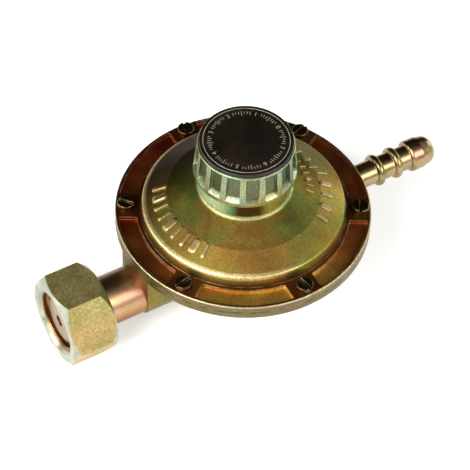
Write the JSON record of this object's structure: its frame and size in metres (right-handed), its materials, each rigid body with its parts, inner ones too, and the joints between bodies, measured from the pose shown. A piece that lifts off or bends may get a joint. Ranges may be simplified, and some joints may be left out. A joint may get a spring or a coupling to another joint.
{
  "type": "gas regulator",
  "caption": "Round diaphragm gas regulator with a ribbed adjusting knob, a hexagonal union nut on the inlet nipple and a ridged hose tail opposite.",
  "frame": {"origin": "centre of the tip of the inlet nose, where the cylinder valve seals", "axes": "+X along the inlet axis towards the body and on to the outlet; +Z along the diaphragm axis towards the knob"},
  "size_m": [0.1411, 0.082, 0.0633],
  "materials": {
    "cover_zinc": "yellow passivated zinc",
    "body_zinc": "yellow passivated zinc",
    "knob_zinc": "pale passivated zinc",
    "screw_steel": "yellow passivated",
    "pin_steel": "turned",
    "plate_steel": "pressed, zinc plated",
    "spring_steel": "drawn wire",
    "valve_brass": "turned",
    "nipple_brass": "turned, bright",
    "tail_brass": "turned, bright",
    "nut_brass": "blasted flats, turned ends",
    "filter_bronze": "sintered",
    "cap_plastic": "satin black",
    "diaphragm_rubber": "matt",
    "pad_rubber": "matt"
  },
  "bodies": {
    "regulator": {"body_casting": "body_zinc", "cover_casting": "cover_zinc", "cover_screw_1": "screw_steel", "cover_screw_2": "screw_steel", "cover_screw_3": "screw_steel", "cover_screw_4": "screw_steel", "cover_screw_5": "screw_steel", "cover_screw_6": "screw_steel", "lever_pin": "pin_steel", "diaphragm": "diaphragm_rubber", "main_spring": "spring_steel", "neck_bush": "valve_brass", "inlet_nipple": "nipple_brass", "inlet_filter": "filter_bronze", "seat_nozzle": "valve_brass", "outlet_tail": "tail_brass"},
    "adjuster": {"knob": "knob_zinc", "knob_cap": "cap_plastic", "knob_screw": "pin_steel", "adjusting_spindle": "valve_brass", "spindle_clip": "spring_steel"},
    "spring_follower": {"spring_seat": "valve_brass"},
    "diaphragm_centre": {"diaphragm_plate": "plate_steel", "diaphragm_backing": "plate_steel", "diaphragm_stem": "valve_brass", "stem_nut": "pin_steel"},
    "lever": {"valve_lever": "plate_steel"},
    "valve": {"pad_holder": "valve_brass", "valve_pad": "pad_rubber"},
    "slip_ring": {"nut_slip_ring": "valve_brass"},
    "nut": {"union_nut": "nut_brass"}
  },
  "joints": [
    {"name": "knob_turn", "type": "hinge", "parent": "regulator", "child": "adjuster", "pos_m": [0.0667, 0, 0.0376], "axis": [0, 0, -1], "range_deg": [0, 720]},
    {"name": "follower_travel", "type": "slide", "parent": "regulator", "child": "spring_follower", "axis": [0, 0, -1], "range_m": [0, 0.004], "deforming": ["main_spring"]},
    {"name": "diaphragm_travel", "type": "slide", "parent": "regulator", "child": "diaphragm_centre", "axis": [0, 0, 1], "range_m": [0, 0.002], "stiffness_N_per_m": 150, "deforming": ["diaphragm"]},
    {"name": "lever_swing", "type": "hinge", "parent": "regulator", "child": "lever", "pos_m": [0.0787, 0, 0.0066], "axis": [0, 1, 0], "range_deg": [0, 9.56]},
    {"name": "valve_slide", "type": "slide", "parent": "regulator", "child": "valve", "axis": [-1, 0, 0], "range_m": [0, 0.0011]},
    {"name": "nut_slide", "type": "slide", "parent": "regulator", "child": "slip_ring", "axis": [-1, 0, 0], "range_m": [-0.0105, 0.0025]},
    {"name": "nut_spin", "type": "hinge", "parent": "slip_ring", "child": "nut", "pos_m": [0, 0, 0], "axis": [1, 0, 0], "continuous": true}
  ],
  "couplings": [
    {"joint": "follower_travel", "follows": "knob_turn", "m_per_rad": 0.00031831},
    {"joint": "lever_swing", "follows": "diaphragm_travel", "rad_per_m": 83.333},
    {"joint": "valve_slide", "follows": "diaphragm_travel", "ratio": 0.55}
  ]
}
